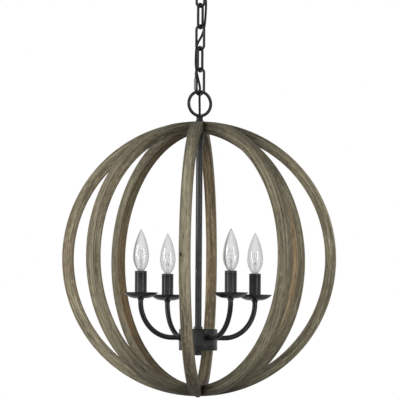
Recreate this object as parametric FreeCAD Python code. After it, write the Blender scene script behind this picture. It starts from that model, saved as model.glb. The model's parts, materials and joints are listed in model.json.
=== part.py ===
# Orb pendant light: four weathered wood hoops round a four-arm candle cluster, hung on a short
# chain from a ceiling canopy. Millimetres, +Z up, origin at the ceiling, on the canopy's axis.
import FreeCAD
import Part

import os
from math import cos, pi, sin, tan

from FreeCAD import Vector

# Fits that the whole light shares
thread_clearance = 0.1
seat_gap = 0.15
link_gap = 0.3
overrun = 10.0

# Orb: hoops bent from square stock, crossed and lapped at both poles
hoop_diameter = 520.0
hoop_depth = 20.0
hoop_width = 20.0
hoop_edge_radius = 1.2
hoop_count = 4
hoop_plan_degrees = (90.0, 0.0, 45.0, 135.0)

# Bolt that clamps the lower crossing
pole_bolt_diameter = 5.0
pole_bolt_head_diameter = 10.0
pole_bolt_head_height = 2.2
pole_bolt_dome_share = 2 / 3
pole_nut_flats = 8.0
pole_nut_height = 4.0
pole_bolt_spare = 1.5

# Canopy, its strap, nipple, collar and loop
canopy_diameter = 127.0
canopy_height = 25.0
canopy_wall = 1.0
canopy_rim_height = 3.0
canopy_boss_diameter = 46.0
canopy_shoulder_drop = 15.0
canopy_shoulder_diameter = 108.0
strap_end_margin = 5.3
strap_width = 18.0
strap_thickness = 2.5
strap_screw_spacing = 79.4
strap_slot_width = 4.8
strap_slot_length = 14.0
nipple_diameter = 9.8
nipple_bore = 6.4
nipple_length = 21.0
nipple_drop = 0.5
collar_diameter = 35.0
collar_thickness = 6.0
collar_chamfer = 1.0
collar_flutes = 24
collar_flute_depth = 0.6
loop_thread_diameter = 26.0
loop_thread_length = 11.0
loop_socket_depth = 6.0

# Rings of the canopy loop and of the fixture loop
canopy_ring_diameter = 25.6
canopy_ring_wire = 4.8
canopy_neck_length = 3.0
canopy_neck_diameter = 14.0
fixture_ring_diameter = 52.4
fixture_ring_wire = 6.0
fixture_neck_length = 8.45
fixture_neck_foot_diameter = 17.0
fixture_neck_waist_diameter = 12.8
fixture_neck_head_diameter = 15.5
fixture_shank_diameter = 8.4
fixture_shank_length = 31.0

# Chain
link_count = 4
link_length = 51.5
link_width = 21.8
link_wire = 5.0
quick_length = 54.6
quick_width = 22.7
quick_wire = 5.0
quick_gap = 6.0
quick_stub = 2.0
sleeve_length = 21.8
sleeve_flats = 7.4
sleeve_chamfer = 0.5
sleeve_clearance = 0.25

# Cord, in at the canopy's nipple, woven down the chain and straight down the stem into the hub
cord_diameter = 4.4
cord_hole = 5.4
cord_tail = 14.0
cord_route = (
    (0.0, 0.0, -12.0),
    (0.0, 0.0, -41.5),
    (7.6, 2.9, -52.5),
    (8.0, 3.0, -68.0),
    (10.5, 3.9, -90.0),
    (9.9, 3.7, -110.0),
    (8.4, 3.2, -133.0),
    (4.1, 1.5, -153.0),
    (-6.6, -2.5, -171.0),
    (-8.1, -3.0, -193.0),
    (-8.0, -3.0, -214.0),
    (-3.6, -1.3, -236.0),
    (0.2, 3.8, -252.0),
    (-1.3, 7.0, -261.0),
    (-1.2, 6.6, -275.0),
    (0.0, 0.0, -298.0),
)
cord_crossing_runs = (2, 4, 6, 8, 10, 13)
cord_arc_share = 0.45

# Plan angles, in degrees from +X
full_turn_degrees = 360.0
link_plan_degrees = -24.4
crossing_plan_degrees = link_plan_degrees + full_turn_degrees / 4
fixture_ring_plan_degrees = 32.0
arm_plan_degrees = 34.8

# Stem
coupling_diameter = 15.4
coupling_length = 16.0
stem_diameter = 12.7
stem_bore = 8.6
stem_engagement = 6.0
stem_collar_diameter = 17.0
stem_collar_height = 4.5
stem_collar_chamfer = 1.2

# Hub, measured down from the orb's centre
hub_drop = 133.0
hub_diameter = 73.0
hub_wall = 1.5
hub_height = 32.0
hub_corner = 2.0
hub_cover_height = 8.7
hub_cover_spigot = 4.0
hub_nipple_bore = 5.6
hub_nipple_grip = 10.0
finial_diameter = 15.2
finial_height = 9.0
finial_thread_share = 2 / 3
finial_flutes = 16
finial_flute_depth = 0.5

# Arms and candles
arm_count = 4
arm_reach = 123.5
arm_level_drop = 149.5
arm_diameter = 9.7
arm_bend_radius = 66.0
arm_tail = 2.7
arm_inner_end = 25.5
arm_bore = 7.5
arm_shoulder_diameter = 17.0
arm_shoulder_thickness = 2.0
arm_stub_diameter = 8.0
arm_stub_bore = 5.6
arm_stub_root = 2.5
arm_stub_engagement = 10.0
arm_nut_flats = 14.0
arm_nut_height = 4.0
cup_diameter = 13.2
cup_waist_diameter = 10.4
cup_height = 3.5
pan_diameter = 66.0
pan_depth = 10.7
pan_wall = 1.0
pan_foot_diameter = 30.0
pan_belly_share = 1 / 3
cover_diameter = 22.6
cover_wall = 0.8
cover_length = 50.0
cover_bead = 0.4
cover_bead_drop = 6.0

# Sockets
socket_diameter = 19.9
socket_neck_diameter = 13.0
socket_neck_length = 22.0
socket_lift = 1.5
socket_recess = 1.0
shell_wall = 0.4
shell_clearance = 0.2

# Bulbs: torpedo glass on a candelabra base
bulb_glass_diameter = 30.6
bulb_glass_length = 78.0
bulb_glass_wall = 0.8
bulb_widest_height = 29.0
bulb_shoulder_share = 0.45
bulb_taper_share = 0.72
bulb_neck_diameter = 11.0
bulb_tip_radius = 1.6
bulb_base_diameter = 11.8
bulb_base_length = 19.0
bulb_base_show = 0.3
bulb_base_wall = 0.5
bulb_contact_diameter = 5.0
bulb_contact_height = 1.5
bulb_seat_gap = 0.4
bulb_stem_diameter = 4.4
bulb_stem_height = 20.0
filament_wire = 0.6
filament_spread = 12.0
filament_rise = 26.0
filament_corners = 6

up = Vector(0, 0, 1)
origin = Vector(0, 0, 0)


# Shapes that several parts share
def in_plane(point):
    return Vector(point[0], 0, point[1])


def outline(start, *steps):
    """A face in the XZ plane. A step is a corner, or the middle and the end of an arc."""
    edges, here = [], start
    for step in steps + (start,):
        if isinstance(step[0], tuple):
            middle, end = step
            edges.append(Part.Arc(in_plane(here), in_plane(middle), in_plane(end)).toShape())
        else:
            end = step
            if end != here:
                edges.append(Part.LineSegment(in_plane(here), in_plane(end)).toShape())
        here = end
    return Part.Face(Part.Wire(edges))


def turned(start, *steps):
    return outline(start, *steps).revolve(origin, up, full_turn_degrees)


def rod(diameter, bottom, top):
    return Part.makeCylinder(diameter / 2, top - bottom, Vector(0, 0, bottom), up)


def tube(diameter, bore, bottom, top):
    return rod(diameter, bottom, top).cut(rod(bore, bottom - overrun, top + overrun))


def hex_prism(flats, bottom, top):
    corner = flats / 2 / cos(pi / 6)
    points = [Vector(corner * cos(i * pi / 3), corner * sin(i * pi / 3), bottom) for i in range(7)]
    return Part.Face(Part.makePolygon(points)).extrude(Vector(0, 0, top - bottom))


def hex_nut(flats, bore, bottom, top):
    return hex_prism(flats, bottom, top).cut(rod(bore, bottom - overrun, top + overrun))


def placed(shape, height=0.0, plan=0.0, reach=0.0):
    """Moves a shape out along +X by reach, turns it about the light's axis, and lifts it."""
    copy = shape.copy()
    copy.translate(Vector(reach, 0, height))
    copy.rotate(origin, up, plan)
    return copy


def swept(path, diameter):
    """A round bar along a path whose first edge starts straight."""
    first = path.Edges[0]
    start, along = first.valueAt(first.FirstParameter), first.tangentAt(first.FirstParameter)
    circle = Part.Wire(Part.makeCircle(diameter / 2, start, along))
    return path.makePipeShell([circle], True, False)


def fluted(body, diameter, depth, count, bottom, top):
    """Cuts shallow round flutes down the side of a turned piece."""
    cutter = Part.makeCylinder(depth, top - bottom, Vector(diameter / 2, 0, bottom), up)
    for index in range(count):
        groove = cutter.copy()
        groove.rotate(origin, up, index * full_turn_degrees / count)
        body = body.cut(groove)
    return body


# Heights, from the ceiling down
canopy_bottom = -canopy_height
collar_bottom = canopy_bottom - collar_thickness
canopy_ring_centre = collar_bottom - canopy_neck_length - canopy_ring_diameter / 2


def hung(parent_bottom, parent_wire, child_wire):
    """The top of a piece that hangs inside the wire of the piece above it."""
    return parent_bottom + parent_wire + link_gap + child_wire


link_tops, above, above_wire = [], canopy_ring_centre - canopy_ring_diameter / 2, canopy_ring_wire
swing_heights = [above + above_wire / 2]
for _ in range(link_count):
    link_tops.append(hung(above, above_wire, link_wire))
    above, above_wire = link_tops[-1] - link_length, link_wire
    swing_heights.append(above + above_wire / 2)
quick_top = hung(above, above_wire, quick_wire)
quick_bottom = quick_top - quick_length
swing_heights.append(quick_bottom + quick_wire / 2)
fixture_ring_centre = hung(quick_bottom, quick_wire, fixture_ring_wire) - fixture_ring_diameter / 2
pole_top = fixture_ring_centre - fixture_ring_diameter / 2 - fixture_neck_length
orb_centre = pole_top - hoop_diameter / 2
pole_inside = hoop_diameter / 2 - hoop_depth
hub_top = orb_centre - hub_drop
hub_cover_bottom = hub_top - hub_height - seat_gap - hub_cover_height
arm_level = orb_centre - arm_level_drop


# Orb
def bent_stock():
    """A hoop in the XZ plane before its laps are cut: square stock with eased edges."""
    outer, inner = hoop_diameter / 2, hoop_diameter / 2 - hoop_depth
    side, ease = hoop_width / 2, hoop_edge_radius
    bow = ease * (1 - cos(pi / 4))
    stock = turned(
        (inner + ease, -side),
        (outer - ease, -side),
        ((outer - bow, -side + bow), (outer, -side + ease)),
        (outer, side - ease),
        ((outer - bow, side - bow), (outer - ease, side)),
        (inner + ease, side),
        ((inner + bow, side - bow), (inner, side - ease)),
        (inner, -side + ease),
        ((inner + bow, -side + bow), (inner + ease, -side)),
    )
    stock.rotate(origin, Vector(1, 0, 0), 90)
    return stock


def hoop(index):
    """One hoop. At each pole it keeps its own layer where it crosses the others."""
    radius, quarter = hoop_diameter / 2, hoop_depth / hoop_count
    ring = bent_stock()
    ring.rotate(origin, up, hoop_plan_degrees[index])
    reach = 2 * hoop_depth + 2 * hoop_width
    for other in range(hoop_count):
        if other == index:
            continue
        if other < index:
            low, high = radius - (other + 1) * quarter, radius + overrun
        else:
            low, high = radius - hoop_depth - overrun, radius - (index + 1) * quarter
        lap = Part.makeBox(reach, hoop_width, high - low, Vector(-reach / 2, -hoop_width / 2, low))
        lap.rotate(origin, up, hoop_plan_degrees[other])
        ring = ring.cut(lap).cut(lap.mirror(origin, up))
    ring = ring.cut(rod(fixture_shank_diameter + 2 * thread_clearance, 0, radius + overrun))
    ring = ring.cut(rod(pole_bolt_diameter + 2 * thread_clearance, -radius - overrun, 0))
    return placed(ring, orb_centre)


def pole_bolt():
    """Low domed head under the crossing, with its shank up through the four hoops."""
    bottom = -hoop_diameter / 2 - seat_gap
    head, shank = pole_bolt_head_diameter / 2, pole_bolt_diameter / 2
    top = -pole_inside + seat_gap + pole_nut_height + pole_bolt_spare
    edge = pole_bolt_head_height / 4
    bolt = turned(
        (0, bottom - pole_bolt_head_height),
        ((head * pole_bolt_dome_share, bottom - pole_bolt_head_height + edge), (head, bottom - edge)),
        (head, bottom),
        (shank, bottom),
        (shank, top),
        (0, top),
    )
    return placed(bolt, orb_centre)


def pole_nut():
    bottom = -pole_inside + seat_gap
    bore = pole_bolt_diameter + 2 * thread_clearance
    return placed(hex_nut(pole_nut_flats, bore, bottom, bottom + pole_nut_height), orb_centre)


# Ceiling side
def ceiling_canopy():
    """Spun dish: upright rim, rounded shoulder, shallow cone and a flat round the loop."""
    rim, wall = canopy_diameter / 2, canopy_wall
    shoulder, boss = canopy_shoulder_diameter / 2, canopy_boss_diameter / 2
    hole = loop_thread_diameter / 2 + 2 * thread_clearance
    bow = (rim - shoulder) * (1 - cos(pi / 4))
    fall = (canopy_shoulder_drop - canopy_rim_height) * sin(pi / 4)
    return turned(
        (rim, 0),
        (rim, -canopy_rim_height),
        ((rim - bow, -canopy_rim_height - fall), (shoulder, -canopy_shoulder_drop)),
        (boss, canopy_bottom),
        (hole, canopy_bottom),
        (hole, canopy_bottom + wall),
        (boss, canopy_bottom + wall),
        (shoulder, -canopy_shoulder_drop + wall),
        ((rim - bow - wall, -canopy_rim_height - fall + wall), (rim - wall, -canopy_rim_height)),
        (rim - wall, 0),
    )


def slot(length, width, height, centre):
    """An upright slot with round ends, to cut."""
    straight = length - width
    low = Vector(centre - straight / 2, -width / 2, -height)
    cutter = Part.makeBox(straight, width, 2 * height, low)
    for end in (centre - straight / 2, centre + straight / 2):
        cutter = cutter.fuse(Part.makeCylinder(width / 2, 2 * height, Vector(end, 0, -height), up))
    return cutter


def mounting_strap():
    """Flat bar with round ends and two slots for the outlet box's screws."""
    length = strap_screw_spacing + strap_slot_length + 2 * strap_end_margin
    bar = slot(length, strap_width, overrun, 0)
    slab = Part.makeBox(length, strap_width, strap_thickness)
    slab.translate(Vector(-length / 2, -strap_width / 2, -strap_thickness))
    bar = bar.common(slab)
    for side in (-1, 1):
        centre = side * strap_screw_spacing / 2
        bar = bar.cut(slot(strap_slot_length, strap_slot_width, overrun, centre))
    hole = rod(nipple_diameter + 2 * thread_clearance, -overrun, overrun)
    return bar.cut(hole).removeSplitter()


def canopy_nipple():
    return tube(nipple_diameter, nipple_bore, -nipple_drop - nipple_length, -nipple_drop)


def ring(diameter, wire, centre):
    return Part.makeTorus((diameter - wire) / 2, wire / 2, Vector(0, 0, centre), Vector(0, 1, 0))


def canopy_loop():
    """Threaded plug inside the canopy, a short neck, and the ring that the chain hangs in."""
    plug, neck = loop_thread_diameter / 2, canopy_neck_diameter / 2
    top = collar_bottom + loop_thread_length
    low = collar_bottom - canopy_neck_length - canopy_ring_wire / 2
    body = turned(
        (0, top),
        (plug, top),
        (plug, collar_bottom),
        (neck, collar_bottom),
        (neck, low),
        (0, low),
    )
    loop = body.fuse(ring(canopy_ring_diameter, canopy_ring_wire, canopy_ring_centre))
    socket = rod(nipple_diameter + 2 * thread_clearance, top - loop_socket_depth, top + overrun)
    loop = loop.cut(socket).cut(rod(cord_hole, canopy_ring_centre, top))
    return placed(loop.removeSplitter(), 0, crossing_plan_degrees)


def canopy_collar():
    """Knurled ring that screws up the loop's plug and holds the canopy to the ceiling."""
    outer = collar_diameter / 2
    bore = loop_thread_diameter / 2 + thread_clearance
    top = canopy_bottom - seat_gap
    body = turned(
        (bore, top),
        (outer, top),
        (outer, collar_bottom + collar_chamfer),
        (outer - collar_chamfer, collar_bottom),
        (bore, collar_bottom),
    )
    return fluted(body, collar_diameter, collar_flute_depth, collar_flutes, collar_bottom, top)


# Chain
def oval(length, width, wire):
    """The centreline of a link: two straight legs and two half circles, from the right leg's foot."""
    half, leg = (width - wire) / 2, (length - width) / 2
    right_low, right_high = Vector(half, 0, -leg), Vector(half, 0, leg)
    left_low, left_high = Vector(-half, 0, -leg), Vector(-half, 0, leg)
    top, bottom = Vector(0, 0, leg + half), Vector(0, 0, -leg - half)
    return Part.Wire(
        [
            Part.LineSegment(right_low, right_high).toShape(),
            Part.Arc(right_high, top, left_high).toShape(),
            Part.LineSegment(left_high, left_low).toShape(),
            Part.Arc(left_low, bottom, right_low).toShape(),
        ]
    )


def chain_link(index):
    link = swept(oval(link_length, link_width, link_wire), link_wire)
    plan = link_plan_degrees if index % 2 else crossing_plan_degrees
    return placed(link, link_tops[index - 1] - link_length / 2, plan)


def quick_link():
    """A link whose left leg is open; the sleeve bridges the gap."""
    link = swept(oval(quick_length, quick_width, quick_wire), quick_wire)
    low = quick_sleeve_bottom() + quick_stub
    leg = Vector(-(quick_width - quick_wire) / 2, 0, low)
    link = link.cut(Part.makeCylinder(quick_wire, quick_gap, leg, up))
    return placed(link, quick_top - quick_length / 2, link_plan_degrees)


def quick_sleeve_bottom():
    """Where the closed sleeve ends, from the quick link's middle: at the foot of its leg."""
    return -(quick_length - quick_width) / 2 + seat_gap


def quick_link_sleeve():
    """Hexagonal sleeve that screws along the leg, with its ends chamfered round."""
    low = quick_sleeve_bottom()
    high, round_radius = low + sleeve_length, sleeve_flats / 2 / cos(pi / 6)
    bore = quick_wire / 2 + sleeve_clearance
    blank = turned(
        (bore, low),
        (round_radius - sleeve_chamfer, low),
        (round_radius, low + sleeve_chamfer),
        (round_radius, high - sleeve_chamfer),
        (round_radius - sleeve_chamfer, high),
        (bore, high),
    )
    sleeve = blank.common(hex_prism(sleeve_flats, low, high))
    sleeve.translate(Vector(-(quick_width - quick_wire) / 2, 0, 0))
    return placed(sleeve, quick_top - quick_length / 2, link_plan_degrees)


# Cord
def cord_pieces():
    """The cord's tubes, cut where it passes from one link to the next, and its arcs' radii."""
    points = [Vector(*point) for point in cord_route] + [Vector(0, 0, hub_top - cord_tail)]
    pieces, edges, radii, here = [], [], [], points[0]
    for index in range(len(points) - 1):
        start, end = points[index], points[index + 1]
        if index in cord_crossing_runs:
            cut = (start + end) / 2
            edges.append(Part.LineSegment(here, cut).toShape())
            pieces.append(swept(Part.Wire(edges), cord_diameter))
            edges, here = [], cut
        if index + 2 == len(points):
            break
        after = points[index + 2]
        into, out = (end - start).normalize(), (after - end).normalize()
        reach = cord_arc_share * min((end - start).Length, (after - end).Length)
        half = into.getAngle(out) / 2
        radius = reach / tan(half)
        inward = (out - into).normalize()
        arc_start, arc_end = end - into * reach, end + out * reach
        middle = end + inward * radius * (1 / cos(half) - 1)
        edges.append(Part.LineSegment(here, arc_start).toShape())
        edges.append(Part.Arc(arc_start, middle, arc_end).toShape())
        radii.append(radius)
        here = arc_end
    edges.append(Part.LineSegment(here, points[-1]).toShape())
    pieces.append(swept(Part.Wire(edges), cord_diameter))
    return pieces, radii


# Fixture loop and stem
def fixture_loop():
    """Ring, waisted neck and threaded shank in one, bored for the cord."""
    foot, waist = fixture_neck_foot_diameter / 2, fixture_neck_waist_diameter / 2
    head, shank = fixture_neck_head_diameter / 2, fixture_shank_diameter / 2
    base, middle = pole_top + seat_gap, pole_top + fixture_neck_length / 2
    crown = pole_top + fixture_neck_length + fixture_ring_wire / 2
    body = turned(
        (0, base - fixture_shank_length),
        (shank, base - fixture_shank_length),
        (shank, base),
        (foot, base),
        ((waist, middle), (head, crown)),
        (0, crown + fixture_ring_wire / 2),
    )
    loop = body.fuse(ring(fixture_ring_diameter, fixture_ring_wire, fixture_ring_centre))
    loop = loop.cut(rod(cord_hole, pole_top - hoop_diameter / 2, fixture_ring_centre))
    return placed(loop.removeSplitter(), 0, fixture_ring_plan_degrees)


coupling_top = orb_centre + pole_inside - seat_gap
coupling_bottom = coupling_top - coupling_length
stem_top = coupling_bottom + stem_engagement


def stem_coupling():
    """Screws up the loop's shank and clamps the upper crossing; the stem enters it from below."""
    outer, thread = coupling_diameter / 2, fixture_shank_diameter / 2 + thread_clearance
    sleeve = stem_diameter / 2 + thread_clearance
    shoulder = stem_top + thread_clearance
    return turned(
        (thread, coupling_top),
        (outer, coupling_top),
        (outer, coupling_bottom),
        (sleeve, coupling_bottom),
        (sleeve, shoulder),
        (thread, shoulder),
    )


def stem_tube():
    return tube(stem_diameter, stem_bore, hub_top + seat_gap, stem_top)


def stem_collar():
    """Chamfered ring round the stem's foot, on the hub."""
    bore, outer = stem_diameter / 2 + thread_clearance, stem_collar_diameter / 2
    low = hub_top + seat_gap
    high = low + stem_collar_height
    return turned(
        (bore, low),
        (outer, low),
        (outer, high - stem_collar_chamfer),
        (outer - stem_collar_chamfer, high),
        (bore, high),
    )


# Hub
def hub_body():
    """Round cup, open below, with a hole for each arm and one for the nipple."""
    outer, inner = hub_diameter / 2, hub_diameter / 2 - hub_wall
    low, ceiling = hub_top - hub_height, hub_top - hub_wall
    bow = hub_corner * (1 - cos(pi / 4))
    body = turned(
        (0, hub_top),
        (outer - hub_corner, hub_top),
        ((outer - bow, hub_top - bow), (outer, hub_top - hub_corner)),
        (outer, low),
        (inner, low),
        (inner, ceiling),
        (0, ceiling),
    )
    radius = arm_diameter / 2 + thread_clearance
    hole = Part.makeCylinder(radius, hub_diameter, Vector(0, 0, arm_level), Vector(1, 0, 0))
    for index in range(arm_count):
        body = body.cut(placed(hole, 0, arm_plan_degrees + index * full_turn_degrees / arm_count))
    nipple = fixture_shank_diameter + 2 * thread_clearance
    return body.cut(rod(nipple, low, hub_top + overrun))


def hub_cover():
    """Shallow cap flush with the cup, with a spigot that fits up inside the cup's edge."""
    outer, wall = hub_diameter / 2, hub_wall
    spigot = outer - wall - thread_clearance
    inner, floor = spigot - wall, hub_cover_bottom + wall
    high = hub_cover_bottom + hub_cover_height
    bow = hub_corner * (1 - cos(pi / 4))
    hole = fixture_shank_diameter / 2 + thread_clearance
    return turned(
        (hole, floor),
        (inner, floor),
        (inner, high + hub_cover_spigot),
        (spigot, high + hub_cover_spigot),
        (spigot, high),
        (outer, high),
        (outer, hub_cover_bottom + hub_corner),
        ((outer - bow, hub_cover_bottom + bow), (outer - hub_corner, hub_cover_bottom)),
        (hole, hub_cover_bottom),
    )


def hub_nipple():
    """Threaded tube from the stem's foot through the hub into the finial."""
    low = hub_cover_bottom - finial_height * finial_thread_share
    return tube(fixture_shank_diameter, hub_nipple_bore, low, hub_top + hub_nipple_grip)


def finial_knob():
    outer, bore = finial_diameter / 2, fixture_shank_diameter / 2 + thread_clearance
    top = hub_cover_bottom - seat_gap
    low = top - finial_height
    blind = hub_cover_bottom - finial_height * finial_thread_share - thread_clearance
    edge = finial_flute_depth * 2
    body = turned(
        (bore, top),
        (outer, top),
        (outer, low + edge),
        (outer - edge, low),
        (0, low),
        (0, blind),
        (bore, blind),
    )
    return fluted(body, finial_diameter, finial_flute_depth, finial_flutes, low + edge, top)


# Arms and candles, each made on the axis and moved out to its arm
arm_top = arm_level + arm_bend_radius + arm_tail
cup_bottom = arm_top + seat_gap
pan_bottom = cup_bottom + cup_height + seat_gap
pan_inside = pan_bottom + pan_wall
cover_bottom = pan_inside + seat_gap
cover_top = cover_bottom + cover_length
socket_bottom = pan_inside + socket_lift
socket_top = cover_top - socket_recess
socket_barrel = socket_bottom + socket_neck_length
bulb_base_top = cover_top + bulb_base_show
bulb_base_bottom = bulb_base_top - bulb_base_length
socket_floor = bulb_base_bottom - bulb_contact_height - bulb_seat_gap
bulb_tip = bulb_base_top + bulb_glass_length


def around(shape, index):
    return placed(shape, 0, arm_plan_degrees + index * full_turn_degrees / arm_count, arm_reach)


def arm():
    """Pipe out of the hub, bent up to the cup, with a shoulder on the hub and a threaded stub on top."""
    bow = arm_bend_radius * (1 - cos(pi / 4))
    start = Vector(arm_inner_end - arm_reach, 0, arm_level)
    turn_start = Vector(-arm_bend_radius, 0, arm_level)
    turn_end = Vector(0, 0, arm_level + arm_bend_radius)
    path = Part.Wire(
        [
            Part.LineSegment(start, turn_start).toShape(),
            Part.Arc(turn_start, Vector(-bow, 0, arm_level + bow), turn_end).toShape(),
            Part.LineSegment(turn_end, Vector(0, 0, arm_top)).toShape(),
        ]
    )
    pipe = swept(path, arm_diameter).cut(swept(path, arm_bore))
    shoulder = tube(arm_shoulder_diameter, (arm_bore + arm_diameter) / 2, 0, arm_shoulder_thickness)
    shoulder.rotate(origin, Vector(0, 1, 0), 90)
    shoulder.translate(Vector(hub_diameter / 2 + seat_gap - arm_reach, 0, arm_level))
    high = socket_bottom + arm_stub_engagement
    stub = tube(arm_stub_diameter, arm_stub_bore, arm_top - arm_stub_root, high)
    return pipe.fuse(shoulder).fuse(stub).removeSplitter()


def arm_nut():
    """Hexagonal nut on the arm's end inside the hub."""
    nut = hex_nut(arm_nut_flats, arm_diameter + 2 * thread_clearance, 0, arm_nut_height)
    nut.rotate(origin, Vector(0, 1, 0), -90)
    wall = hub_diameter / 2 - hub_wall
    seat = (wall ** 2 - (arm_nut_flats / 2 / cos(pi / 6)) ** 2) ** 0.5 - seat_gap
    nut.translate(Vector(seat - arm_reach, 0, arm_level))
    return nut


def arm_cup():
    """Small waisted washer between the arm and the pan."""
    bore, outer = arm_stub_diameter / 2 + thread_clearance, cup_diameter / 2
    waist, top = cup_waist_diameter / 2, pan_bottom - seat_gap
    return turned((bore, cup_bottom), (waist, cup_bottom), (outer, top), (bore, top))


def drip_pan():
    """Shallow spun dish with a thin, nearly level rim."""
    rim, foot = pan_diameter / 2, pan_foot_diameter / 2
    bore, wall = arm_stub_diameter / 2 + thread_clearance, pan_wall
    top = pan_bottom + pan_depth
    belly = ((foot + rim) / 2, pan_bottom + pan_depth * pan_belly_share)
    return turned(
        (bore, pan_bottom),
        (cup_diameter / 2, pan_bottom),
        (belly, (rim, top)),
        (rim - wall, top),
        ((belly[0] - wall / 2, belly[1] + wall), (cup_diameter / 2, pan_inside)),
        (bore, pan_inside),
    )


def candle_cover():
    """Plain sleeve with one raised bead near its top."""
    outer, inner = cover_diameter / 2, cover_diameter / 2 - cover_wall
    bead = cover_top - cover_bead_drop
    return turned(
        (inner, cover_bottom),
        (outer, cover_bottom),
        (outer, bead - 2 * cover_bead),
        ((outer + cover_bead, bead), (outer, bead + 2 * cover_bead)),
        (outer, cover_top),
        (inner, cover_top),
    )


def socket_body():
    """Moulded candle socket: threaded neck, and a barrel bored for the brass shell."""
    outer, neck = socket_diameter / 2, socket_neck_diameter / 2
    stub = arm_stub_diameter / 2 + thread_clearance
    bore = bulb_base_diameter / 2 + shell_clearance + shell_wall + thread_clearance
    return turned(
        (stub, socket_bottom),
        (neck, socket_bottom),
        (neck, socket_barrel),
        (outer, socket_barrel),
        (outer, socket_top),
        (bore, socket_top),
        (bore, socket_floor),
        (0, socket_floor),
        (0, socket_barrel),
        (stub, socket_barrel),
    )


def socket_shell():
    """Brass screw shell in the socket's bore."""
    inner = bulb_base_diameter / 2 + shell_clearance
    low = socket_floor + thread_clearance
    return tube(2 * (inner + shell_wall), 2 * inner, low, socket_top)


def bulb_glass():
    """Torpedo envelope: narrow neck, widest low down, and a drawn-out tip."""
    wide, neck, wall = bulb_glass_diameter / 2, bulb_neck_diameter / 2, bulb_glass_wall
    low, widest = bulb_base_top, bulb_base_top + bulb_widest_height
    rise = bulb_tip - widest
    lower = ((neck + 2 * wide) / 3 + wall, low + bulb_widest_height * bulb_shoulder_share)
    upper = (wide * bulb_taper_share, widest + rise / 2)
    tip = bulb_tip_radius
    shoulder = bulb_tip - tip
    return turned(
        (neck, low),
        (lower, (wide, widest)),
        (upper, (tip, shoulder)),
        ((tip * sin(pi / 4), shoulder + tip * cos(pi / 4)), (0, bulb_tip)),
        (0, shoulder - 2 * wall),
        ((upper[0] - wall, upper[1]), (wide - wall, widest)),
        ((lower[0] - wall, lower[1]), (neck - wall, low)),
    )


def bulb_base():
    """Screw shell, its insulator and the end contact."""
    outer, neck = bulb_base_diameter / 2, bulb_contact_diameter / 2
    low, top = bulb_base_bottom, bulb_base_top - thread_clearance
    taper = outer - neck
    return turned(
        (0, low - bulb_contact_height),
        (neck, low - bulb_contact_height),
        (neck, low),
        (outer, low + taper / 2),
        (outer, top),
        (outer - bulb_base_wall, top),
        (outer - bulb_base_wall, low + taper),
        (0, low + taper),
    )


def bulb_filament():
    """Glass stem with the supports and a filament bent to a zigzag arch."""
    low = bulb_base_bottom + (bulb_base_diameter - bulb_contact_diameter) / 2 + thread_clearance
    top = bulb_base_top + bulb_stem_height
    stem = rod(bulb_stem_diameter, low, top)
    half, wire = filament_spread / 2, filament_wire
    high = top + filament_rise
    points = [Vector(-bulb_stem_diameter / 4, 0, top - wire), Vector(-half, 0, top + filament_rise / 3)]
    for corner in range(1, filament_corners):
        share = corner / filament_corners
        swing = high if corner % 2 else top + filament_rise / 2
        points.append(Vector(-half + share * filament_spread, 0, swing))
    points += [Vector(half, 0, top + filament_rise / 3), Vector(bulb_stem_diameter / 4, 0, top - wire)]
    for start, end in zip(points, points[1:]):
        along = end - start
        stem = stem.fuse(Part.makeCylinder(wire / 2, along.Length, start, along))
    for point in points[1:-1]:
        stem = stem.fuse(Part.makeSphere(wire / 2, point))
    return stem


# Every node
def all_nodes():
    nodes = {
        "ceiling_canopy": ceiling_canopy(),
        "mounting_strap": mounting_strap(),
        "canopy_nipple": canopy_nipple(),
        "canopy_collar": canopy_collar(),
        "canopy_loop": canopy_loop(),
        "quick_link": quick_link(),
        "quick_link_sleeve": quick_link_sleeve(),
        "fixture_loop": fixture_loop(),
        "stem_coupling": stem_coupling(),
        "stem_tube": stem_tube(),
        "stem_collar": stem_collar(),
        "hub_body": hub_body(),
        "hub_cover": hub_cover(),
        "hub_nipple": hub_nipple(),
        "finial_knob": finial_knob(),
        "pole_bolt": pole_bolt(),
        "pole_nut": pole_nut(),
    }
    for index in range(1, link_count + 1):
        nodes[f"chain_link_{index}"] = chain_link(index)
    for index in range(hoop_count):
        nodes[f"wood_hoop_{index + 1}"] = hoop(index)
    groups = {
        "arm_lock_nuts": arm_nut(),
        "arm_cups": arm_cup(),
        "socket_bodies": socket_body(),
        "socket_shells": socket_shell(),
    }
    for name, shape in groups.items():
        nodes[name] = Part.makeCompound([around(shape, index) for index in range(arm_count)])
    for index, piece in enumerate(cord_pieces()[0]):
        nodes[f"fixture_cord_{index}"] = piece
    repeated = {
        "arm": arm(),
        "drip_pan": drip_pan(),
        "candle_cover": candle_cover(),
        "bulb_glass": bulb_glass(),
        "bulb_base": bulb_base(),
        "bulb_filament": bulb_filament(),
    }
    for index in range(arm_count):
        for name, shape in repeated.items():
            nodes[f"{name}_{index + 1}"] = around(shape, index)
    return nodes


def main():
    os.makedirs("parts", exist_ok=True)
    for name, shape in all_nodes().items():
        shape.exportStep(f"parts/{name}.step")
    print("Orb centre", round(orb_centre, 2), "link tops", [round(top, 2) for top in link_tops])
    print("Swing heights", [round(height, 2) for height in swing_heights])
    radii = cord_pieces()[1]
    print("Cord's arcs", [round(radius, 1) for radius in radii])
    print("Quick link", round(quick_top, 2), "ring centre", round(fixture_ring_centre, 2))


main()
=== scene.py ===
import json
import math

import bmesh
import bpy
import numpy as np
from mathutils import Matrix, Vector

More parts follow.
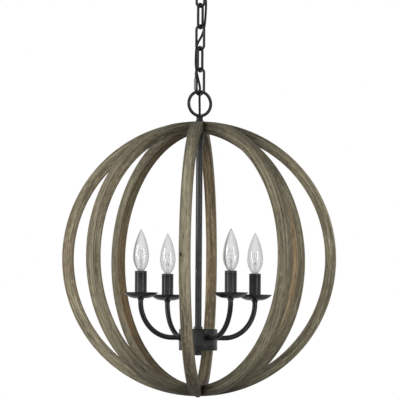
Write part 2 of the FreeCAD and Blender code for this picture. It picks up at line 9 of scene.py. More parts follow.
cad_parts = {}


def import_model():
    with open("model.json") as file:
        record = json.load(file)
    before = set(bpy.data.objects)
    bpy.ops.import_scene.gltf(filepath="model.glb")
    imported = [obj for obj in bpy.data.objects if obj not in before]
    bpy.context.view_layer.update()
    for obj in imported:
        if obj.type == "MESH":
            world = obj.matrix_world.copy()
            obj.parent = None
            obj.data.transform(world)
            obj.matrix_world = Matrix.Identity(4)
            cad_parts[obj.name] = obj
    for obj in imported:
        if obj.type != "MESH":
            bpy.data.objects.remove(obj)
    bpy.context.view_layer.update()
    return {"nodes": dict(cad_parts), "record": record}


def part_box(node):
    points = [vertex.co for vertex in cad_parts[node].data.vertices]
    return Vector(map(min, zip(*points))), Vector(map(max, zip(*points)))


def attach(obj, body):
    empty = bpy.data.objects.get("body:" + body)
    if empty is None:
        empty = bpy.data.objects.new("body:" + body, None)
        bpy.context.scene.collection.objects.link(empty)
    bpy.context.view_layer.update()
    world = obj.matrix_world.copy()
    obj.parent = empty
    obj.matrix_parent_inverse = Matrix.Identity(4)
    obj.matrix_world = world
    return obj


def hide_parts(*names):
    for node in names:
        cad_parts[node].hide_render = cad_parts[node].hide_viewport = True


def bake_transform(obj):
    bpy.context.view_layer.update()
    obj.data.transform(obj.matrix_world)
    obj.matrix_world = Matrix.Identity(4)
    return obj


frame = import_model()
MM = 0.001

# Sizes taken from the CAD model, in millimetres, and each hoop's plan angle in degrees
ORB_CENTRE = -578.45
HOOP_RADIUS = 260.0
HOOP_DEPTH = 20.0
HOOP_WIDTH = 20.0
HOOP_PLANS = (90.0, 0.0, 45.0, 135.0)


# Shader helpers
def grey(value):
    return (value, value, value)


class Nodes:
    """The node tree of a material or of the world, with short calls to add and link nodes."""

    def __init__(self, owner, shader):
        owner.use_nodes = True
        self.tree = owner.node_tree
        self.shader = self.tree.nodes[shader]

    def put(self, node, key, value):
        """Links a socket, or sets its value. A key of digits counts the node's sockets."""
        socket = node.inputs[int(key)] if key.isdigit() else node.inputs[key]
        if hasattr(value, "is_linked"):
            self.tree.links.new(value, socket)
        else:
            socket.default_value = value

    def fill(self, node, inputs):
        for key, value in inputs.items():
            self.put(node, key.replace("_", " "), value)

    def add(self, kind, **inputs):
        node = self.tree.nodes.new(kind)
        self.fill(node, inputs)
        return node

    def shade(self, **inputs):
        self.fill(self.shader, inputs)

    def local(self):
        return self.add("ShaderNodeTexCoord").outputs["Object"]

    def maths(self, operation, first, second=0.0):
        node = self.add("ShaderNodeMath")
        node.operation = operation
        self.put(node, "0", first)
        self.put(node, "1", second)
        return node.outputs[0]

    def vector_maths(self, operation, first, second=(0.0, 0.0, 0.0)):
        node = self.add("ShaderNodeVectorMath")
        node.operation = operation
        self.put(node, "0", first)
        self.put(node, "1", second)
        return node.outputs["Value" if operation == "LENGTH" else "Vector"]

    def mapped(self, vector, scale, offset):
        node = self.add("ShaderNodeMapping", Vector=vector)
        node.inputs["Scale"].default_value = scale
        node.inputs["Location"].default_value = offset
        return node.outputs["Vector"]

    def noise(self, vector, scale, detail, rough=0.55, distort=0.0):
        inputs = {"Scale": scale, "Detail": detail, "Roughness": rough, "Distortion": distort}
        return self.add("ShaderNodeTexNoise", Vector=vector, **inputs).outputs["Fac"]

    def drawn(self, vector, along, across, offset, detail, rough=0.55, distort=0.0):
        """Noise with its own scale along the board and across it."""
        place = self.mapped(vector, (along, across, across), offset)
        return self.noise(place, 1.0, detail, rough, distort)

    def ramp(self, factor, *stops):
        """A colour between stops of (place, (red, green, blue))."""
        node = self.add("ShaderNodeValToRGB", Fac=factor)
        while len(node.color_ramp.elements) < len(stops):
            node.color_ramp.elements.new(0.5)
        for element, (place, colour) in zip(node.color_ramp.elements, stops):
            element.position = place
            element.color = (*colour, 1.0)
        return node.outputs["Color"]

    def share(self, factor, *stops):
        """A grey between stops of (place, value)."""
        return self.ramp(factor, *((place, grey(value)) for place, value in stops))

    def mix(self, factor, first, second, blend="MIX"):
        node = self.add("ShaderNodeMix")
        node.data_type = "RGBA"
        node.blend_type = blend
        self.put(node, "0", factor)
        for key, colour in (("6", first), ("7", second)):
            self.put(node, key, (*colour, 1.0) if isinstance(colour, tuple) else colour)
        return node.outputs[2]

    def bump(self, height, strength, distance):
        node = self.add("ShaderNodeBump", Height=height, Strength=strength, Distance=distance)
        return node.outputs["Normal"]

    def seen(self):
        """Two factors: 1 for the camera's rays alone, and 1 for these and those of glass and gloss."""
        rays = self.add("ShaderNodeLightPath").outputs
        direct = self.maths("MAXIMUM", rays["Is Camera Ray"], rays["Is Transmission Ray"])
        return rays["Is Camera Ray"], self.maths("MAXIMUM", direct, rays["Is Glossy Ray"])


# Materials, one function for each slot of the CAD model, which gives the material its name
def dark_iron(n):
    """Satin black paint over iron, with a faint green cast and edges rubbed a little lighter."""
    place = n.local()
    broad = n.noise(place, 45.0, 3.0)
    colour = n.ramp(broad, (0.35, (0.0045, 0.0060, 0.0058)), (0.65, (0.0095, 0.0117, 0.0112)))
    wear = n.add("ShaderNodeNewGeometry").outputs["Pointiness"]
    colour = n.mix(n.share(wear, (0.51, 0.0), (0.57, 0.35)), colour, (0.075, 0.078, 0.072))
    n.shade(Base_Color=colour, Specular_IOR_Level=0.21)
    n.shade(Roughness=n.maths("ADD", n.maths("MULTIPLY", broad, 0.14), 0.19))
    n.shade(Normal=n.bump(n.noise(place, 700.0, 4.0), 0.12, 0.0003))


def weathered_wood(n):
    """Grain from the hoop's own attribute: along the hoop, across it, and out from its centre."""
    grain = n.add("ShaderNodeAttribute")
    grain.attribute_name = "grain"
    place = grain.outputs["Vector"]

    # Knots: a few cells of a coarse pattern hold a small dark centre, and the fibres swell round it
    spread = n.mapped(place, (15.0, 30.0, 30.0), (2.3, 5.1, 3.4))
    cells = n.add("ShaderNodeTexVoronoi", Vector=spread, Scale=1.0, Randomness=0.5).outputs
    lot = n.add("ShaderNodeSeparateColor", Color=cells["Color"]).outputs[0]
    chosen = n.maths("GREATER_THAN", lot, 0.66)
    near = cells["Distance"]
    knot = n.maths("MULTIPLY", n.share(near, (0.035, 1.0), (0.085, 0.0)), chosen)
    halo = n.maths("MULTIPLY", n.share(near, (0.04, 1.0), (0.25, 0.0)), chosen)

    # The fibres wander a little and are pushed aside by the knots
    wander = n.drawn(place, 3.0, 14.0, (0, 0, 0), 2.0)
    push = n.maths("ADD", n.maths("MULTIPLY", wander, 0.011), n.maths("MULTIPLY", halo, 0.004))
    shift = n.add("ShaderNodeCombineXYZ", Y=push, Z=n.maths("MULTIPLY", push, 0.8))
    bent = n.vector_maths("ADD", place, shift.outputs["Vector"])

    bands = n.drawn(bent, 3.5, 210.0, (3, 1, 2), 4.0, 0.6, 0.4)
    fibre = n.drawn(bent, 11.0, 620.0, (0, 0, 0), 5.0, 0.65)
    pores = n.drawn(bent, 48.0, 560.0, (5, 5, 5), 4.0, 0.75)
    flecks = n.drawn(bent, 70.0, 330.0, (2, 7, 6), 3.0, 0.7)
    tint = n.drawn(place, 3.4, 30.0, (1, 8, 3), 3.0)
    patch = n.drawn(bent, 6.0, 60.0, (9, 4, 7), 4.0, 0.6)
    base = n.ramp(
        bands,
        (0.28, (0.058, 0.049, 0.031)),
        (0.42, (0.148, 0.131, 0.084)),
        (0.56, (0.257, 0.232, 0.153)),
        (0.74, (0.413, 0.380, 0.264)),
    )
    reddish = n.mix(0.5, base, (0.19, 0.105, 0.060))
    base = n.mix(n.share(tint, (0.54, 0.0), (0.68, 0.45)), base, reddish)
    greenish = n.mix(0.5, base, (0.100, 0.108, 0.080))
    base = n.mix(n.share(tint, (0.34, 0.8), (0.46, 0.0)), base, greenish)
    # Layers of stain and worn fibre: the pattern, its stops of (place, share), and the colour
    layers = (
        (patch, (0.34, 0.7), (0.52, 0.0), (0.062, 0.049, 0.034)),
        (fibre, (0.50, 0.0), (0.68, 0.45), (0.42, 0.375, 0.280)),
        (fibre, (0.34, 0.6), (0.47, 0.0), (0.055, 0.042, 0.028)),
        (flecks, (0.32, 0.75), (0.45, 0.0), (0.068, 0.056, 0.040)),
        (flecks, (0.55, 0.0), (0.70, 0.5), (0.43, 0.385, 0.285)),
        (pores, (0.33, 0.85), (0.42, 0.0), (0.034, 0.026, 0.018)),
    )
    for pattern, low, high, colour in layers:
        base = n.mix(n.share(pattern, low, high), base, colour)

    # Towards a corner of the section, which is 1: stain, then rubbed wood, then a dark line of painted
    # shade at the edge
    parts = n.add("ShaderNodeSeparateXYZ", Vector=place).outputs
    side = n.maths("ABSOLUTE", parts["Y"])
    middle = (HOOP_RADIUS - HOOP_DEPTH / 2) * MM
    depth = n.maths("ABSOLUTE", n.maths("SUBTRACT", parts["Z"], middle))
    corner = n.maths("MULTIPLY", n.maths("MINIMUM", side, depth), 2 / (HOOP_WIDTH * MM))
    stain = n.share(corner, (0.58, 0.0), (0.80, 0.8), (0.84, 0.8), (0.88, 0.0))
    base = n.mix(n.maths("MULTIPLY", stain, wander), base, (0.055, 0.044, 0.029))
    rubbed = n.share(corner, (0.84, 0.0), (0.88, 0.7), (0.92, 0.7), (0.945, 0.0))
    base = n.mix(n.maths("MULTIPLY", rubbed, bands), base, (0.38, 0.335, 0.24))
    # Painted shade: a dark line along each edge, where the rounded edge turns away from the light
    base = n.mix(n.share(corner, (0.940, 0.0), (0.972, 0.75)), base, (0.075, 0.062, 0.042))

    # The inner faces, 240 mm from the centre, are warmer
    inner = n.share(n.maths("MULTIPLY", parts["Z"], 4.0), (0.9603, 1.0), (0.9640, 0.0))
    warm = n.ramp(wander, (0.38, (1.06, 1.01, 0.92)), (0.62, (1.24, 0.93, 0.75)))
    base = n.mix(inner, base, n.mix(1.0, base, warm, "MULTIPLY"))

    # Painted shade: darker where the hoops come together at the poles and shade each other, and darker
    # still at the lower pole, which faces away from the light
    reach = n.vector_maths("LENGTH", n.vector_maths("MULTIPLY", n.local(), (1.0, 1.0, 0.0)))
    painted_pole_shade = n.share(reach, (0.02, 0.68), (0.10, 0.44), (0.21, 0.0))
    height = n.add("ShaderNodeSeparateXYZ", Vector=n.local()).outputs["Z"]
    low = n.maths("MULTIPLY", n.maths("LESS_THAN", height, ORB_CENTRE * MM), 0.42)
    painted_pole_shade = n.maths("MULTIPLY", painted_pole_shade, n.maths("ADD", low, 1.0))
    # Painted shade near the poles, multiplied into the wood's colour
    base = n.mix(painted_pole_shade, base, n.mix(1.0, base, (0.30, 0.305, 0.33), "MULTIPLY"))

    base = n.mix(n.maths("MULTIPLY", halo, 0.45), base, (0.085, 0.055, 0.034))
    base = n.mix(knot, base, (0.016, 0.011, 0.008))
    n.shade(Base_Color=base, Roughness=0.75, Specular_IOR_Level=0.18)
    ridges = n.maths("ADD", n.maths("MULTIPLY", fibre, 0.6), n.maths("MULTIPLY", bands, 0.5))
    ridges = n.maths("SUBTRACT", ridges, n.maths("MULTIPLY", knot, 0.8))
    n.shade(Normal=n.bump(ridges, 0.6, 0.0011))


def clear_glass(n):
    """Clear glass with painted shade: greyer all over and much greyer towards the outline, standing in
    for darker surroundings seen in the glass.
    """
    facing = n.add("ShaderNodeLayerWeight", Blend=0.5).outputs["Facing"]
    # Painted shade: the glass's grey, deepest at the outline
    colour = n.share(facing, (0.05, 0.87), (0.3, 0.73), (0.75, 0.67), (1.0, 0.2))
    n.shade(Base_Color=colour, Roughness=0.03, IOR=1.47, Transmission_Weight=1.0)


def brass(n):
    tarnish = n.noise(n.local(), 200.0, 3.0)
    colour = n.ramp(tarnish, (0.3, (0.55, 0.38, 0.16)), (0.7, (0.78, 0.60, 0.32)))
    roughness = n.maths("ADD", n.maths("MULTIPLY", tarnish, 0.2), 0.18)
    n.shade(Base_Color=colour, Metallic=1.0, Roughness=roughness)


def black_phenolic(n):
    mottle = n.noise(n.local(), 500.0, 3.0)
    n.shade(Base_Color=n.share(mottle, (0.3, 0.02), (0.7, 0.035)), Roughness=0.5)
    n.shade(Normal=n.bump(mottle, 0.1, 0.0003))


def zinc_steel(n):
    spangle = n.add("ShaderNodeTexVoronoi", Vector=n.local(), Scale=350.0).outputs["Distance"]
    colour = n.ramp(spangle, (0.0, (0.32, 0.33, 0.33)), (0.7, (0.46, 0.47, 0.46)))
    n.shade(Base_Color=colour, Metallic=1.0, Roughness=0.38)


def filament_steel(n):
    streaks = n.noise(n.local(), 1500.0, 2.0)
    n.shade(Base_Color=n.share(streaks, (0.3, 0.30), (0.7, 0.48)), Metallic=1.0, Roughness=0.35)


def black_cord(n):
    dust = n.noise(n.local(), 400.0, 3.0)
    n.shade(Base_Color=n.share(dust, (0.35, 0.006), (0.7, 0.012)), Roughness=0.5, Specular_IOR_Level=0.15)
    n.shade(Normal=n.bump(dust, 0.08, 0.0003))


MATERIALS = {}
for paint in (
    dark_iron, weathered_wood, clear_glass, brass, black_phenolic, zinc_steel, filament_steel, black_cord
):
    MATERIALS[paint.__name__] = bpy.data.materials.new(paint.__name__)
    paint(Nodes(MATERIALS[paint.__name__], "Principled BSDF"))

SLOTS = {part["node"]: part["material_slot"] for part in frame["record"]["subparts"]}
for name, node in frame["nodes"].items():
    node.data.materials.clear()
    node.data.materials.append(MATERIALS[SLOTS[name]])


# Piece and mesh helpers
def piece(name, mesh, slot, body, *nodes):
    """A new piece that stands for some CAD nodes, and rides on a body if one is named."""
    obj = bpy.data.objects.new(name, mesh)
    bpy.context.scene.collection.objects.link(obj)
    mesh.materials.clear()
    mesh.materials.append(MATERIALS[slot])
    if body:
        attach(obj, body)
    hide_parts(*nodes)
    return obj


def smooth_mesh(name, bm):
    """Turns the faces outward and hands over the mesh, shaded smooth."""
    bmesh.ops.recalc_face_normals(bm, faces=bm.faces)
    mesh = bpy.data.meshes.new(name)
    bm.to_mesh(mesh)
    bm.free()
    mesh.shade_smooth()
    return mesh


def evaluated_mesh(obj):
    """The object's mesh with its modifiers or its spline worked out."""
    bpy.context.view_layer.update()
    return bpy.data.meshes.new_from_object(obj.evaluated_get(bpy.context.evaluated_depsgraph_get()))


def bridge(bm, first, second):
    """A band of faces between two rings, or a cone where one of them is a single point."""
    count = max(len(first), len(second))
    for k in range(count):
        j = (k + 1) % count
        corners = [first[k % len(first)], first[j % len(first)]]
        corners += [second[j % len(second)], second[k % len(second)]]
        bm.faces.new(tuple(dict.fromkeys(corners)))


def add_tube(bm, line, diameter, sides, first=0, last=None):
    """A closed round tube through the points from the first to the last, with flat ends."""
    last = len(line) - 1 if last is None else last
    rings, side = [], Vector((1, 0, 0))
    if abs((line[first + 1] - line[first]).normalized().x) > 0.9:
        side = Vector((0, 0, 1))
    for k in range(first, last + 1):
        along = (line[min(k + 1, len(line) - 1)] - line[max(k - 1, 0)]).normalized()
        side = (side - along * side.dot(along)).normalized()
        other = along.cross(side)
        ring = []
        for step in range(sides):
            angle = 2 * math.pi * step / sides
            out = side * math.cos(angle) + other * math.sin(angle)
            ring.append(bm.verts.new(line[k] + out * diameter / 2))
        rings.append(ring)
    for upper, lower in zip(rings, rings[1:]):
        bridge(bm, upper, lower)
    bm.faces.new(rings[0][::-1])
    bm.faces.new(rings[-1])


# Hoops
HOOP_STEPS = 288
EDGE_RADIUS = 1.1
EDGE_TURNS = (0, 30, 60, 90)
LAP_LENGTH = 80.0
LAP_OVER = 10.0
SHARP_EDGE = math.radians(35)
# Where each hoop's board starts in the grain, in metres
GRAIN_STARTS = (0.41, 7.51, 7.64, 13.51)


def hoop_mesh(index):
    """A ring of square section with rounded edges, before its laps are cut."""
    plan = math.radians(HOOP_PLANS[index])
    half, outer, inner = HOOP_WIDTH / 2, HOOP_RADIUS, HOOP_RADIUS - HOOP_DEPTH
    profile = []
    for k, (side, radius) in enumerate(((half, outer), (-half, outer), (-half, inner), (half, inner))):
        side -= math.copysign(EDGE_RADIUS, side)
        radius += EDGE_RADIUS if radius == inner else -EDGE_RADIUS
        for degrees in EDGE_TURNS:
            turn = math.radians(90 * k + degrees)
            profile.append((side + EDGE_RADIUS * math.cos(turn), radius + EDGE_RADIUS * math.sin(turn)))
    bm = bmesh.new()
    rings = []
    for step in range(HOOP_STEPS):
        angle = 2 * math.pi * step / HOOP_STEPS
        ring = []
        for side, radius in profile:
            along = radius * math.cos(angle)
            x = along * math.cos(plan) - side * math.sin(plan)
            y = along * math.sin(plan) + side * math.cos(plan)
            z = ORB_CENTRE + radius * math.sin(angle)
            ring.append(bm.verts.new((x * MM, y * MM, z * MM)))
        rings.append(ring)
    for first, second in zip(rings, rings[1:] + rings[:1]):
        bridge(bm, first, second)
    return smooth_mesh(f"orb_hoop_{index + 1}", bm)


def lap_boxes(index):
    """The blocks that a hoop loses where it crosses the others, as the CAD model cuts them."""
    quarter = HOOP_DEPTH / 4
    bm = bmesh.new()
    for other in range(4):
        if other == index:
            continue
        if other < index:
            low, high = HOOP_RADIUS - (other + 1) * quarter, HOOP_RADIUS + LAP_OVER
        else:
            low, high = HOOP_RADIUS - HOOP_DEPTH - LAP_OVER, HOOP_RADIUS - (index + 1) * quarter
        for pole in (1, -1):
            turn = Matrix.Rotation(math.radians(HOOP_PLANS[other]), 4, "Z")
            size = Matrix.Diagonal((LAP_LENGTH * MM, HOOP_WIDTH * MM, (high - low) * MM, 1.0))
            centre = Vector((0, 0, (ORB_CENTRE + pole * (low + high) / 2) * MM))
            bmesh.ops.create_cube(bm, size=1.0, matrix=Matrix.Translation(centre) @ turn @ size)
    return smooth_mesh("laps", bm)


def cut(mesh, cutter):
    """The mesh with the cutter's volume taken out."""
    target = bpy.data.objects.new("target", mesh)
    tool = bpy.data.objects.new("tool", cutter)
    for obj in (target, tool):
        bpy.context.scene.collection.objects.link(obj)
    modifier = target.modifiers.new("cut", "BOOLEAN")
    modifier.operation = "DIFFERENCE"
    modifier.solver = "EXACT"
    modifier.use_self = True
    modifier.object = tool
    result = evaluated_mesh(target)
    result.name = mesh.name
    for obj in (target, tool):
        bpy.data.objects.remove(obj)
    bpy.data.meshes.remove(cutter)
    result.shade_smooth()
    return result


def write_grain(mesh, index):
    """Writes each face corner's place on the hoop: along it, across it and out from the centre."""
    plan = math.radians(HOOP_PLANS[index])
    points = np.empty(len(mesh.vertices) * 3)
    mesh.vertices.foreach_get("co", points)
    loops = np.empty(len(mesh.loops), int)
    mesh.loops.foreach_get("vertex_index", loops)
    corner = points.reshape(-1, 3)[loops]
    along = corner[:, 0] * math.cos(plan) + corner[:, 1] * math.sin(plan)
    across = -corner[:, 0] * math.sin(plan) + corner[:, 1] * math.cos(plan)
    rise = corner[:, 2] - ORB_CENTRE * MM
    angle = np.arctan2(along, -rise)
    # Where the angle jumps by a whole turn, a face keeps all its corners on one side of the jump
    for face in mesh.polygons:
        part = slice(face.loop_start, face.loop_start + face.loop_total)
        first = angle[face.loop_start]
        angle[part] = first + (angle[part] - first + math.pi) % (2 * math.pi) - math.pi
    radius = np.hypot(along, rise)
    values = np.stack([angle * HOOP_RADIUS * MM + GRAIN_STARTS[index], across, radius], axis=1)
    attribute = mesh.attributes.new("grain", "FLOAT_VECTOR", "CORNER")
    attribute.data.foreach_set("vector", values.astype(np.float32).ravel())


for index in range(4):
    mesh = cut(hoop_mesh(index), lap_boxes(index))
    write_grain(mesh, index)
    hoop = piece(f"orb_hoop_{index + 1}", mesh, "weathered_wood", "fixture", f"wood_hoop_{index + 1}")
    hoop.modifiers.new("edges", "EDGE_SPLIT").split_angle = SHARP_EDGE

# Bulbs, in millimetres over the glass's neck
GLASS_WALL = 0.8
GLASS_NECK = 5.5
WIDEST_SHARE = 29 / 78
SHOULDER_SHARE = 0.45
TAPER_SHARE = 0.72
TIP_RADIUS = 1.6
# The outer tip is rounded at these turns, in radians. The inside closes where it gets this narrow, and
# the glass is this many walls thick at the tip.
TIP_TURNS = (0.5, 1.0)
NARROWEST = 0.5
TIP_WALLS = 3
LOWER_STEPS = 18
UPPER_STEPS = 26
LATHE_SIDES = 96
# Glass flare from the neck, its tube, the press on the leads, and a button on a rod: (radius, height)
STEM_OUTLINE = (
    (0.0, -6.0),
    (4.4, -6.0),
    (4.3, -3.0),
    (3.2, 1.0),
    (2.3, 5.0),
    (2.1, 12.0),
    (2.5, 15.0),
    (2.4, 19.0),
    (1.2, 20.4),
    (0.6, 21.0),
    (0.55, 25.5),
    (1.1, 26.3),
    (1.0, 27.4),
    (0.0, 27.9),
)
PRESS_FROM = 13.0
PRESS_TO = 20.2
PRESS_SHARE = 0.5
LEAD = ((1.2, 0.0, 14.0), (1.3, 0.0, 20.0), (3.2, 0.0, 26.0), (5.6, 0.0, 31.0))
SUPPORT = ((0.3, 0.0, 27.0), (1.4, 0.2, 32.0), (2.3, 0.2, 38.6))
LEAD_DIAMETER = 0.45
LEAD_SIDES = 8
COIL_PITCH = 0.55
COIL_RADIUS = 0.42
COIL_STEPS = 10
FILAMENT_DIAMETER = 0.16
FILAMENT_SIDES = 6


def arc(first, middle, last, steps):
    """Points on the circle through three points, without the first of them."""
    (ax, ay), (bx, by), (cx, cy) = first, middle, last
    twice = 2 * (ax * (by - cy) + bx * (cy - ay) + cx * (ay - by))
    squares = [x * x + y * y for x, y in (first, middle, last)]
    ox = (squares[0] * (by - cy) + squares[1] * (cy - ay) + squares[2] * (ay - by)) / twice
    oy = (squares[0] * (cx - bx) + squares[1] * (ax - cx) + squares[2] * (bx - ax)) / twice
    radius = math.hypot(ax - ox, ay - oy)
    start, end = math.atan2(ay - oy, ax - ox), math.atan2(cy - oy, cx - ox)
    sweep = (end - start + math.pi) % (2 * math.pi) - math.pi
    turns = [start + sweep * step / steps for step in range(1, steps + 1)]
    return [(ox + radius * math.cos(turn), oy + radius * math.sin(turn)) for turn in turns]


def envelope(wide, height, wall):
    """The glass from its neck to its tip: radius and height, drawn in by the wall."""
    widest, tip = height * WIDEST_SHARE, TIP_RADIUS
    neck = (GLASS_NECK, 0.0)
    shoulder = ((GLASS_NECK + 2 * wide) / 3 + GLASS_WALL, widest * SHOULDER_SHARE)
    taper = (wide * TAPER_SHARE, (widest + height) / 2)
    outline = [neck] + arc(neck, shoulder, (wide, widest), LOWER_STEPS)
    outline += arc((wide, widest), taper, (tip, height - tip), UPPER_STEPS)
    outline = [(radius - wall, up) for radius, up in outline]
    if wall:
        open_part = [(radius, up) for radius, up in outline if radius > NARROWEST]
        return open_part + [(0.0, height - TIP_WALLS * wall)]
    rounded = [(tip * math.cos(turn), height - tip + tip * math.sin(turn)) for turn in TIP_TURNS]
    return outline + rounded + [(0.0, height)]


def lathe(name, outline, place):
    """Turns an outline of (radius, height) in millimetres about an upright axis."""
    bm = bmesh.new()
    rings = []
    for radius, height in outline:
        z = place.z + height * MM
        if radius == 0.0:
            rings.append([bm.verts.new((place.x, place.y, z))])
            continue
        ring = []
        for step in range(LATHE_SIDES):
            turn = 2 * math.pi * step / LATHE_SIDES
            x, y = radius * math.cos(turn) * MM, radius * math.sin(turn) * MM
            ring.append(bm.verts.new((place.x + x, place.y + y, z)))
        rings.append(ring)
    for first, second in zip(rings, rings[1:]):
        bridge(bm, first, second)
    return smooth_mesh(name, bm)


def bulb_envelope(index):
    """The glass shell, closed over at the tip inside and outside. Returns the middle of its neck."""
    low, high = (Vector(corner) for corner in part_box(f"bulb_glass_{index}"))
    wide, height = (high.x - low.x) / 2 / MM, (high.z - low.z) / MM
    place = Vector(((low.x + high.x) / 2, (low.y + high.y) / 2, low.z))
    name = f"bulb_envelope_{index}"
    shell = lathe(name, envelope(wide, height, GLASS_WALL)[::-1] + envelope(wide, height, 0.0), place)
    piece(name, shell, "clear_glass", f"bulb_{index}", f"bulb_glass_{index}")
    return place


def bulb_stem(index, place):
    """The glass stem, with its press flattened."""
    mesh = lathe(f"bulb_stem_{index}", STEM_OUTLINE, place)
    for vertex in mesh.vertices:
        if PRESS_FROM < (vertex.co.z - place.z) / MM < PRESS_TO:
            vertex.co.y = place.y + (vertex.co.y - place.y) * PRESS_SHARE
    piece(f"bulb_stem_{index}", mesh, "clear_glass", f"bulb_{index}", f"bulb_filament_{index}")


def bulb_wires(index, place):
    """Two leads, two supports out of the button, and a coiled filament hung over them."""
    leads = [[Vector((side * x, y, z)) for x, y, z in LEAD] for side in (-1, 1)]
    supports = [[Vector((side * x, y, z)) for x, y, z in SUPPORT] for side in (-1, 1)]
    bm = bmesh.new()
    for line in leads + supports:
        add_tube(bm, [place + point * MM for point in line], LEAD_DIAMETER * MM, LEAD_SIDES)
    corners = [line[-1] for line in (leads[0], supports[0], supports[1], leads[1])]
    coil, turn, forward = [], 0.0, Vector((0, 1, 0))
    for first, second in zip(corners, corners[1:]):
        along = second - first
        steps = int(along.length / COIL_PITCH) * COIL_STEPS
        across = along.cross(forward).normalized()
        for step in range(steps):
            turn += 2 * math.pi / COIL_STEPS
            out = across * math.cos(turn) + forward * math.sin(turn)
            coil.append(first + along * step / steps + out * COIL_RADIUS)
    add_tube(bm, [place + point * MM for point in coil], FILAMENT_DIAMETER * MM, FILAMENT_SIDES)
    mesh = smooth_mesh(f"bulb_wires_{index}", bm)
    piece(f"bulb_wires_{index}", mesh, "filament_steel", f"bulb_{index}", f"bulb_filament_{index}")


for index in range(1, 5):
    neck = bulb_envelope(index)
    bulb_stem(index, neck)
    bulb_wires(index, neck)

# Cord: one smooth line, woven down the chain and straight down the stem
# Its diameter is in metres
CORD_DIAMETER = 0.0044
CORD_SIDES = 20
# The route and the hinges' heights are in millimetres
CORD_ROUTE = (
    (0.0, 0.0, -12.0),
    (0.0, 0.0, -30.0),
    (0.0, 0.0, -41.5),
    (7.6, 2.9, -52.5),
    (8.0, 3.0, -68.0),
    (10.5, 3.9, -90.0),
    (9.9, 3.7, -110.0),
    (8.4, 3.2, -133.0),
    (4.1, 1.5, -153.0),
    (-6.6, -2.5, -171.0),
    (-8.1, -3.0, -193.0),
    (-8.0, -3.0, -214.0),
    (-3.6, -1.3, -236.0),
    (0.2, 3.8, -252.0),
    (-1.3, 7.0, -261.0),
    (-1.2, 6.6, -275.0),
    (0.0, 0.0, -298.0),
    (0.0, 0.0, -320.0),
    (0.0, 0.0, -725.45),
)
SWING_HEIGHTS = (-57.2, -98.5, -139.7, -180.9, -222.1, -266.4)


def cord_line():
    """Points along the cord's spline, from the canopy down."""
    curve = bpy.data.curves.new("cord_line", "CURVE")
    curve.dimensions = "3D"
    spline = curve.splines.new("NURBS")
    spline.points.add(len(CORD_ROUTE) - 1)
    for point, place in zip(spline.points, CORD_ROUTE):
        point.co = (*(value * MM for value in place), 1.0)
    spline.order_u = 3
    spline.use_endpoint_u = True
    spline.resolution_u = 24
    obj = bpy.data.objects.new("cord_line", curve)
    bpy.context.scene.collection.objects.link(obj)
    mesh = evaluated_mesh(obj)
    line = [vertex.co.copy() for vertex in mesh.vertices]
    bpy.data.objects.remove(obj)
    bpy.data.meshes.remove(mesh)
    return line


LINE = cord_line()
# The pieces meet halfway between two hinges, on the link between them
MEETINGS = [(upper + lower) / 2 * MM for upper, lower in zip(SWING_HEIGHTS, SWING_HEIGHTS[1:])]
ENDS = [0] + [min(range(len(LINE)), key=lambda k: abs(LINE[k].z - height)) for height in MEETINGS]
ENDS.append(len(LINE) - 1)
for k, hinge in enumerate(SWING_HEIGHTS):
    bm = bmesh.new()
    add_tube(bm, LINE, CORD_DIAMETER, CORD_SIDES, ENDS[k], ENDS[k + 1])
    name = f"cord_{k + 1}"
    nodes = (f"fixture_cord_{k}", f"fixture_cord_{k + 1}")
    cord = piece(name, smooth_mesh(name, bm), "black_cord", None, *nodes)
    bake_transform(cord)

# Stage, light and camera
FLOOR_HEIGHT = -2.44
FLOOR_REACH = 12.0
# The floor's grey as it lights the object and as it is seen, and its own glow as it is seen, with what
# the camera adds to that and what it adds far from the centre
FLOOR_LIT = 0.30
FLOOR_SEEN = 0.40
FLOOR_GLOW = 0.62
CAMERA_GLOW = 0.12
FAR_GLOW = 0.26
# The world's strength as it lights the object and as it is seen
WORLD_LIT = 0.08
WORLD_SEEN = 1.0
CENTRE = Vector((0.0, 0.0, ORB_CENTRE * MM))
# Azimuth from the front, distance, height over the orb's centre, width and height, power, and whether
# gloss and glass show it
LAMPS = {
    "left": (-55.0, 2.7, 0.6, (0.6, 1.3), 43.0, True),
    "right": (49.0, 2.7, 0.35, (0.5, 1.3), 22.0, True),
    "front": (-8.0, 3.0, 0.15, (0.8, 0.8), 55.0, False),
    "back_left": (-148.0, 3.0, 0.55, (1.2, 1.2), 44.0, False),
    "back_right": (128.0, 3.0, 0.55, (1.2, 1.2), 56.0, False),
}
# The camera, fitted to landmarks of the photograph. Angles are in degrees, azimuth from the front.
AZIMUTH = 5.84
PITCH = 3.303
YAW = -0.018
ROLL = 0.4
CAMERA_DISTANCE = 5.4336
CAMERA_HEIGHT = -0.7807
FOCAL_PIXELS = 2870.0
PHOTO_PIXELS = 400.0
SENSOR_WIDTH = 36.0


def around(azimuth, distance, height):
    """A place round the orb: azimuth in degrees from the front, distance and height in metres."""
    turn = math.radians(azimuth)
    return Vector((math.sin(turn) * distance, -math.cos(turn) * distance, height))


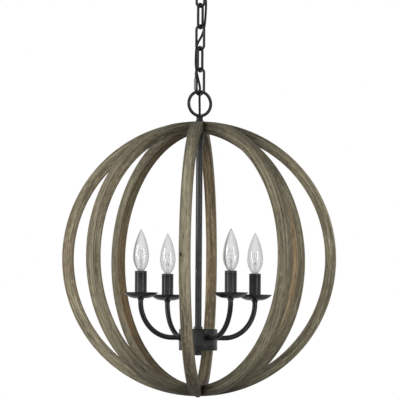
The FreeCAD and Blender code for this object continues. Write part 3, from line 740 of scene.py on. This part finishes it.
def floor():
    """A pale floor far below, which keeps the shadow and fades to white away from the light."""
    material = bpy.data.materials.new("floor")
    n = Nodes(material, "Principled BSDF")
    camera_ray, seen = n.seen()
    # Nought up to 1 m from the centre, and rising to 1 at 7 m
    spread = n.maths("MULTIPLY", n.vector_maths("LENGTH", n.local()), 0.1)
    far = n.maths("MULTIPLY", n.share(spread, (0.1, 0.0), (0.7, 1.0)), camera_ray)
    lit = n.mix(seen, grey(FLOOR_LIT), grey(FLOOR_SEEN))
    glow = n.maths("MULTIPLY", seen, FLOOR_GLOW)
    for factor, strength in ((camera_ray, CAMERA_GLOW), (far, FAR_GLOW)):
        glow = n.maths("ADD", glow, n.maths("MULTIPLY", factor, strength))
    n.shade(Base_Color=n.mix(far, lit, grey(0.0)), Roughness=0.9, Specular_IOR_Level=0.0)
    n.shade(Emission_Color=(1.0, 1.0, 1.0, 1.0), Emission_Strength=glow)
    bm = bmesh.new()
    bmesh.ops.create_grid(bm, x_segments=8, y_segments=8, size=FLOOR_REACH)
    mesh = bpy.data.meshes.new("floor")
    bm.to_mesh(mesh)
    bm.free()
    mesh.materials.append(material)
    obj = bpy.data.objects.new("floor", mesh)
    obj.location = (0, 0, FLOOR_HEIGHT)
    bpy.context.scene.collection.objects.link(obj)


def world():
    """White to the camera, gloss and glass, and a faint light on the object."""
    bpy.context.scene.world = bpy.data.worlds.new("studio")
    n = Nodes(bpy.context.scene.world, "Background")
    strength = n.add("ShaderNodeMapRange", Value=n.seen()[1], To_Min=WORLD_LIT, To_Max=WORLD_SEEN)
    n.shade(Color=(1.0, 1.0, 1.0, 1.0), Strength=strength.outputs["Result"])


def lamp(name, azimuth, distance, rise, size, power, shown):
    data = bpy.data.lights.new(name, "AREA")
    data.shape = "RECTANGLE"
    data.size, data.size_y = size
    data.energy = power
    obj = bpy.data.objects.new(name, data)
    obj.location = around(azimuth, distance, CENTRE.z + rise)
    obj.rotation_euler = (CENTRE - obj.location).to_track_quat("-Z", "Y").to_euler()
    obj.visible_glossy = shown
    obj.visible_transmission = shown
    bpy.context.scene.collection.objects.link(obj)


def camera():
    data = bpy.data.cameras.new("camera")
    data.sensor_width = SENSOR_WIDTH
    data.lens = FOCAL_PIXELS / PHOTO_PIXELS * SENSOR_WIDTH
    data.clip_end = 100.0
    obj = bpy.data.objects.new("camera", data)
    obj.location = around(AZIMUTH, CAMERA_DISTANCE, CAMERA_HEIGHT)
    turns = (("Z", AZIMUTH + YAW), ("X", 90.0 + PITCH), ("Z", ROLL))
    about, tilt, roll = (Matrix.Rotation(math.radians(degrees), 3, axis) for axis, degrees in turns)
    obj.rotation_euler = (about @ tilt @ roll).to_euler()
    bpy.context.scene.collection.objects.link(obj)
    bpy.context.scene.camera = obj


floor()
world()
for name, settings in LAMPS.items():
    lamp(name, *settings)
camera()
bpy.context.scene.view_settings.view_transform = "Standard"
